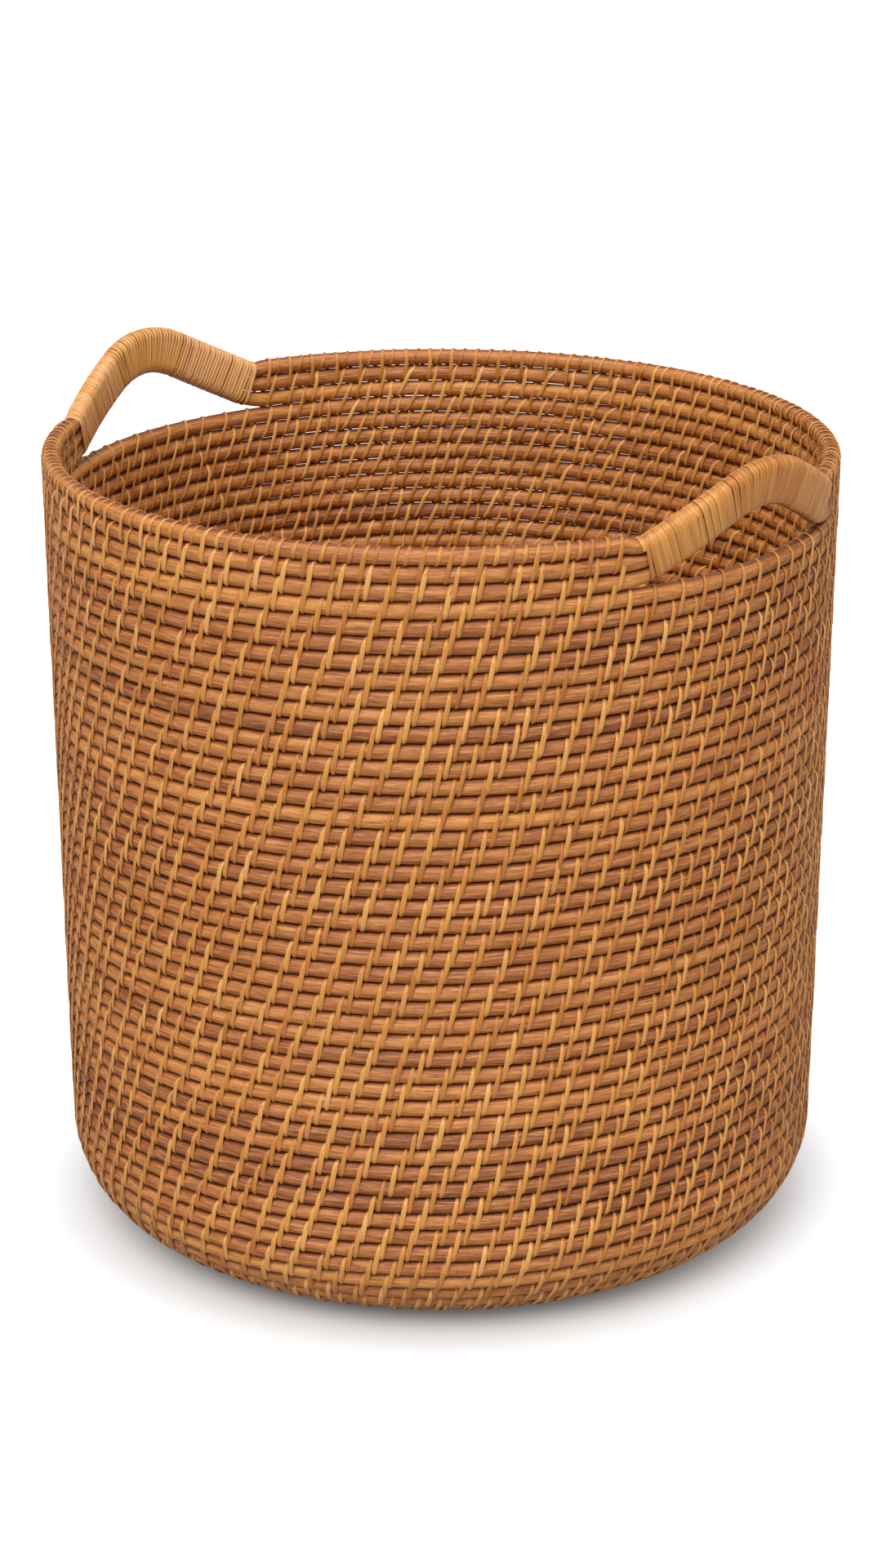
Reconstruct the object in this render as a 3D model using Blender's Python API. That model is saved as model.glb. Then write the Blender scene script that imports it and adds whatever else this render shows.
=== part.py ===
"""Round coiled rattan laundry basket with two raised handles.

The base is a flat spiral of rattan core. From its edge the wall goes up as closed
hoops of the same rod, one on top of the other, first round the corner and then
nearly straight. The top three hoops rise together over two handles, where a
sleeve of wound cane binds them into one grip. Nothing on the basket moves.

Metres, +Z up. The origin is under the middle of the base, on the surface it
stands on. One handle is at the +X side and one at the -X side; they were bent
and set by hand, so they differ a little and both sit slightly towards -Y.
"""

import math
from collections import namedtuple

import bmesh
import bpy
from mathutils import Vector

# --- Driving dimensions -----------------------------------------------------

ROD_DIAMETER = 0.0085  # rattan core of every course
COURSE_GAP = 0.0006  # room that the lashing takes between two courses
RIM_RADIUS = 0.2055  # from the axis to the middle of the rim rod
WALL_LEAN = math.radians(0.95)  # how far the wall leans out as it goes up
CORNER_RADIUS = 0.0475  # bend between base and wall, at the rods' middles
COURSES = 49  # hoops from the base's edge to the rim

HANDLE_COURSES = 3  # top hoops that rise over a handle
BINDING_SQUEEZE = 0.0011  # how much closer the binding presses the rods of a handle
HANDLE_BEND_RADIUS = 0.050  # bend at the top of a handle
BINDING_THICKNESS = 0.0008  # wall of the wound cane sleeve
CLEARANCE = 0.0003  # between a sleeve and what is near it

# A handle's place round the rim, its span from foot to foot along the wall, the
# slope of its two flanks, and how far it leans out from the wall.
Handle = namedtuple("Handle", "side angle span flank lean")
HANDLES = (
    Handle("right", math.radians(-2.4), 0.150, math.radians(25.0), math.radians(8.0)),
    Handle("left", math.radians(182.4), 0.156, math.radians(26.5), 0.0),
)

BASE_RODS = 3  # lengths of rod in the base spiral
SPIRAL_START = 0.0068  # smallest radius that the first turn is bent to
TAPER_TURNS = 0.75  # the last rod is pared to a point over this much of a turn
BUTT_GAP = 0.0010  # between the ends of two rods

SEGMENTS = 20  # straight stretches in one full turn
FLANK_STEPS = 3  # straight stretches in a handle's flank
HANDLE_BEND_STEPS = 4  # straight stretches in a handle's top bend

# --- Worked out from them ---------------------------------------------------

ROD_RADIUS = ROD_DIAMETER / 2
PITCH = ROD_DIAMETER + COURSE_GAP
HANDLE_PITCH = PITCH - BINDING_SQUEEZE  # from rod to rod in a handle
PRESSED_RADIUS = (HANDLE_PITCH - COURSE_GAP) / 2  # a handle rod's, from rod to rod
CORNER_SWEEP = math.pi / 2 - WALL_LEAN
CORNER_LENGTH = CORNER_RADIUS * CORNER_SWEEP
WALL_LENGTH = COURSES * PITCH - CORNER_LENGTH
FLOOR_RADIUS = (
    RIM_RADIUS
    - WALL_LENGTH * math.sin(WALL_LEAN)
    - CORNER_RADIUS * math.sin(CORNER_SWEEP)
)
LOWEST_HANDLE_COURSE = COURSES - HANDLE_COURSES + 1
CORNER_COURSES = int(CORNER_LENGTH / PITCH)
STEP = 2 * math.pi / SEGMENTS

# A rod's section: first number along the course-to-course line, second across
# the wall, in rod radii. The flats face into and out of the basket.
ROD_SECTION = ((1, 0), (0.5, 1), (-0.5, 1), (-1, 0), (-0.5, -1), (0.5, -1))

RATTAN_COLOR = (0.47, 0.19, 0.068, 1.0)
CANE_COLOR = (0.68, 0.33, 0.11, 1.0)


def clear_scene():
    for obj in list(bpy.data.objects):
        bpy.data.objects.remove(obj, do_unlink=True)


def make_material(name, color, roughness):
    material = bpy.data.materials.new(name)
    material.use_nodes = True
    shader = material.node_tree.nodes["Principled BSDF"]
    shader.inputs["Base Color"].default_value = color
    shader.inputs["Roughness"].default_value = roughness
    shader.inputs["Metallic"].default_value = 0.0
    return material


# --- Where the courses lie --------------------------------------------------


def course_place(course):
    """Radius, height and slope of a hoop's middle. Course 1 lies round the base."""
    along = course * PITCH
    turn = min(along, CORNER_LENGTH) / CORNER_RADIUS
    rise = max(along - CORNER_LENGTH, 0.0)
    radius = FLOOR_RADIUS + CORNER_RADIUS * math.sin(turn) + rise * math.cos(turn)
    height = ROD_RADIUS + CORNER_RADIUS * (1 - math.cos(turn)) + rise * math.sin(turn)
    return radius, height, turn


def frame_at(angle, slope):
    """Unit vectors at an angle round the axis: up the wall, out of it, and round it."""
    outward = Vector((math.cos(angle), math.sin(angle), 0.0))
    around = Vector((-math.sin(angle), math.cos(angle), 0.0))
    vertical = Vector((0.0, 0.0, 1.0))
    up_wall = outward * math.cos(slope) + vertical * math.sin(slope)
    off_wall = outward * math.sin(slope) - vertical * math.cos(slope)
    return up_wall, off_wall, around


def section_ring(middle, long_axis, cross_axis, shape, long_scale, cross_scale):
    """Corner points of one cross-section."""
    return [
        middle + long_axis * (a * long_scale) + cross_axis * (b * cross_scale)
        for a, b in shape
    ]


# --- Meshes -----------------------------------------------------------------


def add_skin(bm, rings, closed):
    """Faces between neighbouring rings of vertices, in a loop if closed."""
    count = len(rings[0])
    last = len(rings) if closed else len(rings) - 1
    for i in range(last):
        near, far = rings[i], rings[(i + 1) % len(rings)]
        for k in range(count):
            m = (k + 1) % count
            bm.faces.new((near[k], near[m], far[m], far[k]))


def add_object(name, bm, material):
    """One finished sub-part, with its faces turned outwards."""
    bmesh.ops.recalc_face_normals(bm, faces=bm.faces)
    mesh = bpy.data.meshes.new(name)
    bm.to_mesh(mesh)
    bm.free()
    mesh.shade_smooth()
    mesh.set_sharp_from_angle(angle=math.radians(62))
    mesh.materials.append(material)
    obj = bpy.data.objects.new(name, mesh)
    bpy.context.collection.objects.link(obj)
    return obj


def add_rod(name, sections, closed, material):
    """A rod through its sections: a loop, or a length with two flat ends."""
    bm = bmesh.new()
    rings = [[bm.verts.new(point) for point in section] for section in sections]
    add_skin(bm, rings, closed)
    if not closed:
        bm.faces.new(rings[0])
        bm.faces.new(rings[-1])
    return add_object(name, bm, material)


def add_sleeve(name, inner_sections, outer_sections, material):
    """A tube open at both ends, from the sections of its bore and its outside."""
    bm = bmesh.new()
    inner = [[bm.verts.new(point) for point in section] for section in inner_sections]
    outer = [[bm.verts.new(point) for point in section] for section in outer_sections]
    add_skin(bm, inner, closed=False)
    add_skin(bm, outer, closed=False)
    for end in (0, -1):
        add_skin(bm, [inner[end], outer[end]], closed=False)
    return add_object(name, bm, material)


# --- The handle's line ------------------------------------------------------


def binding_setback(flank):
    """How far in from a handle's foot its sleeve begins, square to the flank.

    There it clears the hoop below, and all its rods are already on the flank.
    """
    reach = PRESSED_RADIUS + CLEARANCE + BINDING_THICKNESS
    needed = reach / math.cos(flank) + ROD_RADIUS + CLEARANCE - PITCH
    clear_below = needed / math.tan(flank) - reach * math.sin(flank)
    rods = HANDLE_COURSES - 1
    all_bent = rods * (HANDLE_PITCH * math.sin(flank) - PITCH * math.tan(flank / 2))
    return max(clear_below, all_bent) + ROD_RADIUS / 2


def handle_line(handle):
    """Points of the lowest handle course, unrolled: along the wall, and up it.

    From a foot a straight flank goes up to the top bend. The second point on each
    flank is where the sleeve begins.
    """
    half = handle.span / 2
    slope = math.tan(handle.flank)
    flank_top = half - HANDLE_BEND_RADIUS * math.sin(handle.flank)
    setback = binding_setback(handle.flank)
    left = [(-half, 0.0)]
    for i in range(FLANK_STEPS):
        along = setback + (flank_top - setback) * i / FLANK_STEPS
        left.append((along - half, along * slope))
    bend_foot = flank_top * slope
    bend_drop = HANDLE_BEND_RADIUS * math.cos(handle.flank)
    bend = []
    for i in range(HANDLE_BEND_STEPS + 1):
        angle = handle.flank * (2 * i / HANDLE_BEND_STEPS - 1)
        rise = HANDLE_BEND_RADIUS * math.cos(angle) - bend_drop
        bend.append((HANDLE_BEND_RADIUS * math.sin(angle), bend_foot + rise))
    right = [(-along, up) for along, up in reversed(left)]
    return left + bend + right


def mitres(points):
    """At each point the tilt that halves its corner, and how much a mitre widens."""
    slopes = [0.0]
    for (a0, u0), (a1, u1) in zip(points, points[1:]):
        slopes.append(math.atan2(u1 - u0, a1 - a0))
    slopes.append(0.0)
    result = []
    for before, after in zip(slopes, slopes[1:]):
        result.append(((before + after) / 2, 1 / math.cos((after - before) / 2)))
    return result


def handle_frames(handle, course):
    """Middle, long axis and cross axis of a handle course at each point of its line.

    At the two feet the courses still lie as in the wall.
    """
    points = handle_line(handle)
    radius, height, wall_slope = course_place(LOWEST_HANDLE_COURSE)
    frames = []
    for i, (tilt, widening) in enumerate(mitres(points)):
        along, up = points[i]
        at_foot = i in (0, len(points) - 1)
        slope = wall_slope if at_foot else wall_slope - handle.lean
        angle = handle.angle + along / radius
        up_wall, off_wall, around = frame_at(angle, slope)
        foot = Vector((math.cos(angle) * radius, math.sin(angle) * radius, height))
        long_axis = (up_wall * math.cos(tilt) - around * math.sin(tilt)) * widening
        pitch = PITCH if at_foot else HANDLE_PITCH
        step = (course - LOWEST_HANDLE_COURSE) * pitch
        frames.append((foot + up_wall * up + long_axis * step, long_axis, off_wall))
    return frames


# --- Sub-parts --------------------------------------------------------------


def plain_section(course, angle):
    radius, height, slope = course_place(course)
    up_wall, off_wall, _ = frame_at(angle, slope)
    middle = Vector((math.cos(angle) * radius, math.sin(angle) * radius, height))
    return section_ring(middle, up_wall, off_wall, ROD_SECTION, ROD_RADIUS, ROD_RADIUS)


def handle_sections(handle, course):
    """The rod's sections over a handle, pressed thinner between the two feet."""
    frames = handle_frames(handle, course)
    sizes = [PRESSED_RADIUS] * len(frames)
    sizes[0] = sizes[-1] = ROD_RADIUS
    return [
        section_ring(*frame, ROD_SECTION, size, ROD_RADIUS)
        for frame, size in zip(frames, sizes)
    ]


def make_hoop(name, course, material):
    """A plain hoop of rod, its two ends spliced into a closed ring."""
    sections = [plain_section(course, i * STEP) for i in range(SEGMENTS)]
    return add_rod(name, sections, True, material)


def make_handle_hoop(name, course, material):
    """A hoop that rises over both handles and lies level between them."""
    radius = course_place(LOWEST_HANDLE_COURSE)[0]
    sections = []
    for handle, following in zip(HANDLES, HANDLES[1:] + HANDLES[:1]):
        sections += handle_sections(handle, course)
        start = handle.angle + handle.span / 2 / radius + STEP / 3
        end = following.angle - following.span / 2 / radius - STEP / 3
        if end < start:
            end += 2 * math.pi
        first = math.ceil(start / STEP)
        last = math.floor(end / STEP)
        for i in range(first, last + 1):
            sections.append(plain_section(course, i * STEP))
    return add_rod(name, sections, True, material)


def spiral_radius(turn, turns):
    return FLOOR_RADIUS - PITCH * (turns - turn)


def spiral_section(step, full_steps):
    """Section of the base spiral at a whole number of steps from its start."""
    turn = step / SEGMENTS
    turns = full_steps / SEGMENTS
    radius, size = spiral_radius(turn, turns), ROD_RADIUS
    if turn > turns:
        inner = spiral_radius(turn - 1, turns) + PITCH / 2
        outer = FLOOR_RADIUS + PITCH / 2
        radius, size = (inner + outer) / 2, (outer - inner - COURSE_GAP) / 2
    angle = step * STEP
    outward = Vector((math.cos(angle), math.sin(angle), 0.0))
    middle = outward * radius + Vector((0.0, 0.0, ROD_RADIUS))
    down = Vector((0.0, 0.0, -1.0))
    return section_ring(middle, outward, down, ROD_SECTION, size, size)


def moved_along(near, far, distance):
    """The section that lies a distance from one section towards the next."""
    share = distance / (far[0] - near[0]).length
    return [a.lerp(b, share) for a, b in zip(near, far)]


def make_base(material):
    """The flat spiral, in lengths of rod of about the same length, butted end to end.

    The last turn is pared thinner and thinner, so that the first hoop of the wall
    lies on a true circle.
    """
    names = [f"base_coil_{i + 1}" for i in range(BASE_RODS)]
    full_steps = int((FLOOR_RADIUS - SPIRAL_START) / PITCH * SEGMENTS)
    last_step = full_steps + int(TAPER_TURNS * SEGMENTS)
    ends = [round(full_steps * math.sqrt(i / BASE_RODS)) for i in range(BASE_RODS)]
    ends.append(last_step)
    for name, first, last in zip(names, ends, ends[1:]):
        steps = range(first, last + 1)
        sections = [spiral_section(step, full_steps) for step in steps]
        if first > 0:
            sections[0] = moved_along(sections[0], sections[1], BUTT_GAP)
        add_rod(name, sections, False, material)


def sleeve_section(half_height, half_width):
    """A tall flat-sided loop with cut corners, and a point between every two rods."""
    cut = ROD_RADIUS / 2
    high, wide = half_height - cut, half_width - cut
    side = [(half_height, wide), (high, half_width)]
    for i in range(HANDLE_COURSES - 1):
        side.append((HANDLE_PITCH * (HANDLE_COURSES / 2 - 1 - i), half_width))
    side += [(-high, half_width), (-half_height, wide)]
    return side + [(a, -b) for a, b in reversed(side)]


def make_binding(handle, material):
    """Cane wound closely round the rods of a handle, as one open sleeve."""
    middle_course = LOWEST_HANDLE_COURSE + (HANDLE_COURSES - 1) / 2
    stack = HANDLE_PITCH * (HANDLE_COURSES - 1) / 2
    half_height = stack + PRESSED_RADIUS + CLEARANCE
    half_width = ROD_RADIUS + CLEARANCE
    thick = BINDING_THICKNESS
    bore = sleeve_section(half_height, half_width)
    outside = sleeve_section(half_height + thick, half_width + thick)
    frames = handle_frames(handle, middle_course)[1:-1]
    inner = [section_ring(*frame, bore, 1, 1) for frame in frames]
    outer = [section_ring(*frame, outside, 1, 1) for frame in frames]
    return add_sleeve(f"handle_binding_{handle.side}", inner, outer, material)


def hoop_name(course):
    if course <= CORNER_COURSES:
        return f"corner_hoop_{course:02d}"
    return f"wall_hoop_{course:02d}"


def build():
    clear_scene()
    rattan = make_material("rattan_core", RATTAN_COLOR, 0.55)
    cane = make_material("split_cane", CANE_COLOR, 0.38)
    make_base(rattan)
    for course in range(1, LOWEST_HANDLE_COURSE):
        make_hoop(hoop_name(course), course, rattan)
    for course in range(LOWEST_HANDLE_COURSE, COURSES):
        make_handle_hoop(f"handle_hoop_{course:02d}", course, rattan)
    make_handle_hoop("rim_hoop", COURSES, rattan)
    for handle in HANDLES:
        make_binding(handle, cane)


build()
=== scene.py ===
"""Looks of the coiled rattan laundry basket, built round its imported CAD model.

Rods of rattan core lie in a flat spiral for the base and in hoops for the wall.
Strips of split cane lash every rod to the one below it, and wind the two handles.
"""

import math
import random

import bpy
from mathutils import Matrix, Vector


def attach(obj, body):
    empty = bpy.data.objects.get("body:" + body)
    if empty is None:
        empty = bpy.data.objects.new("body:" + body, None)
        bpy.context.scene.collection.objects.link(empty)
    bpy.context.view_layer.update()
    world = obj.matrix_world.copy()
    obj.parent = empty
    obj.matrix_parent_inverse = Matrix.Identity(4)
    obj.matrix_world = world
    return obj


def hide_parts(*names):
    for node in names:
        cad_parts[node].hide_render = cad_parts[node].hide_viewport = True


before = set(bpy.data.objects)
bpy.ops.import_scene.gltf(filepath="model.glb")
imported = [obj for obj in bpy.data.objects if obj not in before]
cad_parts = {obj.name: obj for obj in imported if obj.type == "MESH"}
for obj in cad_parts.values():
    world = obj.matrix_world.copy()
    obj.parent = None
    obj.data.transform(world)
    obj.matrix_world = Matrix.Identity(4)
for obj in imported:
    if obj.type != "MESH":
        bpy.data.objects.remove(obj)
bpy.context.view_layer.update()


# === The base coil ==========================================================
# Three lengths of peeled rattan core, bent into one flat spiral and butted end
# to end. The first starts thinner, and the last is pared to a point, so that the wall
# can start on a circle.

ROD_DIAMETER = 0.0085
PITCH = 0.0091  # from one course to the next, with the strip that passes between
RIM_RADIUS = 0.2055
WALL_LEAN = math.radians(0.95)
CORNER_RADIUS = 0.0475
COURSES = 49
CORNER_SWEEP = math.pi / 2 - WALL_LEAN
CORNER_LENGTH = CORNER_RADIUS * CORNER_SWEEP
WALL_LENGTH = COURSES * PITCH - CORNER_LENGTH
FLOOR_RADIUS = (
    RIM_RADIUS
    - WALL_LENGTH * math.sin(WALL_LEAN)
    - CORNER_RADIUS * math.sin(CORNER_SWEEP)
)
ROD_RADIUS = ROD_DIAMETER / 2
FULLNESS = 1.035  # against the CAD rods, so that only short slits show between rods
TURN = 2 * math.pi
UP = Vector((0.0, 0.0, 1.0))


def put(tree, kind, settings=None, wired=None):
    """One node of a tree, with its settings and what goes into its inputs."""
    node = tree.nodes.new(kind)
    for name, value in (settings or {}).items():
        setattr(node, name, value)
    for key, value in (wired or {}).items():
        if isinstance(value, bpy.types.NodeSocket):
            tree.links.new(value, node.inputs[key])
        else:
            node.inputs[key].default_value = value
    return node


def calc(tree, operation, *terms):
    """A number worked out from others."""
    wired = dict(enumerate(terms))
    return put(tree, "ShaderNodeMath", {"operation": operation}, wired).outputs[0]


def vector_calc(tree, operation, *terms):
    """A vector worked out from others."""
    wired = dict(enumerate(terms))
    node = put(tree, "ShaderNodeVectorMath", {"operation": operation}, wired)
    return node.outputs[0]


def scaled(tree, vector, factor):
    """A vector times a number."""
    node = put(
        tree, "ShaderNodeVectorMath", {"operation": "SCALE"}, {0: vector, 3: factor}
    )
    return node.outputs[0]


def stored(tree, geometry, kind, name, value):
    """The geometry with one more named value on its points."""
    settings = {"data_type": kind, "domain": "POINT"}
    wired = {"Geometry": geometry, "Name": name, "Value": value}
    node = put(tree, "GeometryNodeStoreNamedAttribute", settings, wired)
    return node.outputs["Geometry"]


def named(tree, kind, name):
    """A value that the points already carry."""
    settings = {"data_type": kind}
    node = put(tree, "GeometryNodeInputNamedAttribute", settings, {"Name": name})
    return node.outputs["Attribute"]


def new_tree(name, inputs):
    """An empty Geometry Nodes tree with named inputs, and its input and output node."""
    tree = bpy.data.node_groups.new(name, "GeometryNodeTree")
    face = tree.interface
    face.new_socket("Geometry", in_out="INPUT", socket_type="NodeSocketGeometry")
    face.new_socket("Geometry", in_out="OUTPUT", socket_type="NodeSocketGeometry")
    for label, kind in inputs:
        face.new_socket(label, in_out="INPUT", socket_type=f"NodeSocket{kind}")
    return tree, put(tree, "NodeGroupInput").outputs, put(tree, "NodeGroupOutput")


def guide_curve(name, stations, closed):
    """A line for a tree to follow: points with across vector, size and tone."""
    count = len(stations)
    edges = [(i, i + 1) for i in range(count - 1)]
    if closed:
        edges.append((count - 1, 0))
    mesh = bpy.data.meshes.new(name)
    mesh.from_pydata([station[0] for station in stations], edges, [])
    across = mesh.attributes.new("across", "FLOAT_VECTOR", "POINT")
    across.data.foreach_set("vector", [x for s in stations for x in s[1]])
    for k, label in ((2, "size"), (3, "tone")):
        values = mesh.attributes.new(label, "FLOAT", "POINT")
        values.data.foreach_set("value", [s[k] for s in stations])
    obj = bpy.data.objects.new(name, mesh)
    bpy.context.scene.collection.objects.link(obj)
    return obj


def worked(guide, name, tree, values):
    """The plain mesh that a tree makes along a guide; the guide goes."""
    modifier = guide.modifiers.new("work", "NODES")
    modifier.node_group = tree
    for item in tree.interface.items_tree:
        if item.item_type == "SOCKET" and item.name in values:
            modifier[item.identifier] = values[item.name]
    graph = bpy.context.evaluated_depsgraph_get()
    mesh = bpy.data.meshes.new_from_object(
        guide.evaluated_get(graph), preserve_all_data_layers=True, depsgraph=graph
    )
    bpy.data.objects.remove(guide)
    mesh.name = name
    piece = bpy.data.objects.new(name, mesh)
    bpy.context.scene.collection.objects.link(piece)
    return piece


SWELL_FINENESS = 22.0  # how fast a rod's thickness changes along it
SWAY_FINENESS = 9.0  # how fast neighbouring rods sway together
ROD_SIDES = 16


def rod_tree():
    """A round rod along its guide, never quite even in thickness."""
    inputs = [
        ("Rod Radius", "Float"), ("Unevenness", "Float"), ("Wander", "Float"),
        ("Seed", "Float"), ("Material", "Material"),
    ]
    tree, given, result = new_tree("Rattan Rod", inputs)
    place = put(tree, "GeometryNodeInputPosition").outputs[0]
    swell = put(
        tree, "ShaderNodeTexNoise", {"noise_dimensions": "4D"},
        {"Vector": place, "W": given["Seed"], "Scale": SWELL_FINENESS, "Detail": 2.0},
    )
    sway = put(
        tree, "ShaderNodeTexNoise", {"noise_dimensions": "3D"},
        {"Vector": place, "Scale": SWAY_FINENESS, "Detail": 1.0},
    )
    shift = vector_calc(tree, "SUBTRACT", sway.outputs["Color"], (0.5, 0.5, 0.5))
    thick = calc(tree, "SUBTRACT", swell.outputs[0], 0.5)
    thick = calc(tree, "MULTIPLY_ADD", thick, given["Unevenness"], 1.0)
    thick = calc(tree, "MULTIPLY", thick, named(tree, "FLOAT", "size"))
    line = stored(tree, given["Geometry"], "FLOAT", "thick", thick)
    line = stored(tree, line, "FLOAT", "rod", given["Seed"])
    line = put(
        tree, "GeometryNodeSetPosition", None,
        {"Geometry": line, "Offset": scaled(tree, shift, given["Wander"])},
    ).outputs[0]
    line = put(tree, "GeometryNodeMeshToCurve", None, {"Mesh": line}).outputs[0]
    line = put(
        tree, "GeometryNodeSetCurveNormal", {"mode": "FREE"},
        {"Curve": line, "Normal": named(tree, "FLOAT_VECTOR", "across")},
    ).outputs[0]
    ring = put(
        tree, "GeometryNodeCurvePrimitiveCircle", {"mode": "RADIUS"},
        {"Resolution": ROD_SIDES, "Radius": given["Rod Radius"]},
    ).outputs[0]
    ring = stored(tree, ring, "FLOAT_VECTOR", "section", place)
    rod = put(
        tree, "GeometryNodeCurveToMesh", None,
        {"Curve": line, "Profile Curve": ring, "Fill Caps": True,
         "Scale": named(tree, "FLOAT", "thick")},
    ).outputs[0]
    rod = put(tree, "GeometryNodeSetMaterial", None,
              {"Geometry": rod, "Material": given["Material"]}).outputs[0]
    rod = put(tree, "GeometryNodeRealizeInstances", None, {"Geometry": rod}).outputs[0]
    tree.links.new(rod, result.inputs[0])
    return tree


FIBRE_LAYERS = (  # output, fineness against the group's own, detail
    ("Streaks", 1.0, 5.0), ("Pores", 3.6, 3.0), ("Patches", 0.12, 2.0),
)


def fibre_group():
    """Fine lengthwise fibres of cane: streaks, pores and broad patches."""
    group = bpy.data.node_groups.new("Cane Fibres", "ShaderNodeTree")
    face = group.interface
    for label, kind in (("Fibre", "Vector"), ("Drift", "Float"), ("Fineness", "Float")):
        face.new_socket(label, in_out="INPUT", socket_type=f"NodeSocket{kind}")
    for label, _, _ in FIBRE_LAYERS:
        face.new_socket(label, in_out="OUTPUT", socket_type="NodeSocketFloat")
    given = put(group, "NodeGroupInput").outputs
    result = put(group, "NodeGroupOutput")
    for label, share, detail in FIBRE_LAYERS:
        noise = put(
            group, "ShaderNodeTexNoise", {"noise_dimensions": "4D"},
            {"Vector": given["Fibre"], "W": given["Drift"], "Detail": detail,
             "Roughness": 0.66, "Scale": calc(group, "MULTIPLY", given["Fineness"], share)},
        )
        group.links.new(noise.outputs[0], result.inputs[label])
    return group


def shader(name):
    """A new material's tree and its Principled shader."""
    material = bpy.data.materials.new(name)
    material.use_nodes = True
    return material, material.node_tree, material.node_tree.nodes["Principled BSDF"]


def attribute(tree, name):
    """A named value of the mesh, in a material."""
    return put(tree, "ShaderNodeAttribute", {"attribute_name": name})


def ramp(tree, factor, stops):
    """Colours between stops of (place, colour)."""
    node = put(tree, "ShaderNodeValToRGB", None, {"Fac": factor})
    elements = node.color_ramp.elements
    while len(elements) < len(stops):
        elements.new(0.5)
    for element, (place, color) in zip(elements, stops):
        element.position = place
        element.color = (*color, 1.0)
    return node.outputs["Color"]


def mixed(tree, blend, factor, a, b):
    """Two colours blended."""
    node = put(tree, "ShaderNodeMix", {"data_type": "RGBA", "blend_type": blend},
               {0: factor, 6: a, 7: b})
    return node.outputs[2]


def spread(tree, value, low, high, to_low=0.0, to_high=1.0):
    """A value stretched from one range to another, and held inside it."""
    return put(tree, "ShaderNodeMapRange", None,
               {0: value, 1: low, 2: high, 3: to_low, 4: to_high}).outputs[0]


CORE_FINENESS = 1000.0
FIBRE_STRETCH = 0.07  # how slowly the pattern changes along a rod
CORE_DARK = (0.25, 0.068, 0.013)
CORE_MID = (0.42, 0.137, 0.028)
CORE_PALE = (0.55, 0.207, 0.047)
CORE_HONEY = (0.66, 0.27, 0.055)
CORE_STREAK = (0.78, 0.38, 0.12, 1)
STREAK_SHADE = (0.48, 0.36, 0.28, 1)
PORE_SHADE = (0.50, 0.36, 0.26, 1)
GROOVE_PAINTED_SHADE = (0.40, 0.23, 0.10, 1)  # painted shade where two rods meet
GROOVE_SHADE_START = 0.74  # of the rod's radius, away from its middle, where the painted shade begins


def core_material(fibres):
    """Peeled rattan core: matt, reddish brown, with open lengthwise grain."""
    material, tree, principled = shader("rattan_core_fibrous")
    section = put(tree, "ShaderNodeSeparateXYZ", None,
                  {0: attribute(tree, "section").outputs["Vector"]}).outputs
    place = put(tree, "ShaderNodeSeparateXYZ", None,
                {0: put(tree, "ShaderNodeTexCoord").outputs["Object"]}).outputs
    rod = attribute(tree, "rod").outputs["Fac"]
    fibre = put(tree, "ShaderNodeCombineXYZ", None,
                {0: calc(tree, "ADD", section[0], rod), 1: section[1],
                 2: calc(tree, "MULTIPLY", place[0], FIBRE_STRETCH)})
    grain = put(tree, "ShaderNodeGroup", {"node_tree": fibres},
                {"Fibre": fibre.outputs[0], "Fineness": CORE_FINENESS,
                 "Drift": calc(tree, "MULTIPLY", place[1], FIBRE_STRETCH)}).outputs
    tone = attribute(tree, "tone").outputs["Fac"]
    patch = calc(tree, "SUBTRACT", grain["Patches"], 0.5)
    patch = calc(tree, "MULTIPLY_ADD", patch, 0.9, tone)
    base = ramp(tree, patch, ((0.0, CORE_DARK), (0.42, CORE_MID), (0.72, CORE_PALE),
                              (1.0, CORE_HONEY)))
    light = spread(tree, grain["Streaks"], 0.50, 0.66, 0.0, 0.6)
    base = mixed(tree, "MIX", light, base, CORE_STREAK)
    dark = spread(tree, grain["Streaks"], 0.32, 0.49, 1.0, 0.0)
    base = mixed(tree, "MULTIPLY", dark, base, STREAK_SHADE)
    pores = spread(tree, grain["Pores"], 0.34, 0.44, 0.8, 0.0)
    base = mixed(tree, "MULTIPLY", pores, base, PORE_SHADE)
    # painted shade along both sides of a rod, where it meets the rods above and below
    painted_groove_shade = calc(tree, "ABSOLUTE", section[1])
    painted_groove_shade = spread(tree, painted_groove_shade, ROD_RADIUS * GROOVE_SHADE_START, ROD_RADIUS, 0.0, 0.9)
    base = mixed(tree, "MULTIPLY", painted_groove_shade, base, GROOVE_PAINTED_SHADE)
    tree.links.new(base, principled.inputs["Base Color"])
    tree.links.new(spread(tree, grain["Pores"], 0.3, 0.7, 0.66, 0.42),
                   principled.inputs["Roughness"])
    height = calc(tree, "MULTIPLY_ADD", grain["Pores"], 0.35, grain["Streaks"])
    bump = put(tree, "ShaderNodeBump", None,
               {"Strength": 0.6, "Distance": 0.0006, "Height": height})
    tree.links.new(bump.outputs[0], principled.inputs["Normal"])
    return material


fibres = fibre_group()
rattan_core = core_material(fibres)
rod_work = rod_tree()
chance = random.Random(7)


CORE_LENGTHS = (1.1, 2.2)  # the shortest and longest piece of core, in metres
USUAL_TONE = 0.43
TONE_DEVIATION = 0.13
ODD_SHARE = 0.08  # of the lengths are much paler or much darker
ODD_TONES = (0.86, 0.12)


def rod_tones():
    """Tone of the core, told how far it has run on; new with every length of it."""
    left = 0.0
    while True:
        if left <= 0.0:
            left = chance.uniform(*CORE_LENGTHS)
            tone = chance.gauss(USUAL_TONE, TONE_DEVIATION)
            if chance.random() < ODD_SHARE:
                tone = chance.choice(ODD_TONES)
        step = yield tone
        left -= step


tones = rod_tones()
next(tones)


ROD_UNEVENNESS = 0.10
ROD_WANDER = 0.0016


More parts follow.
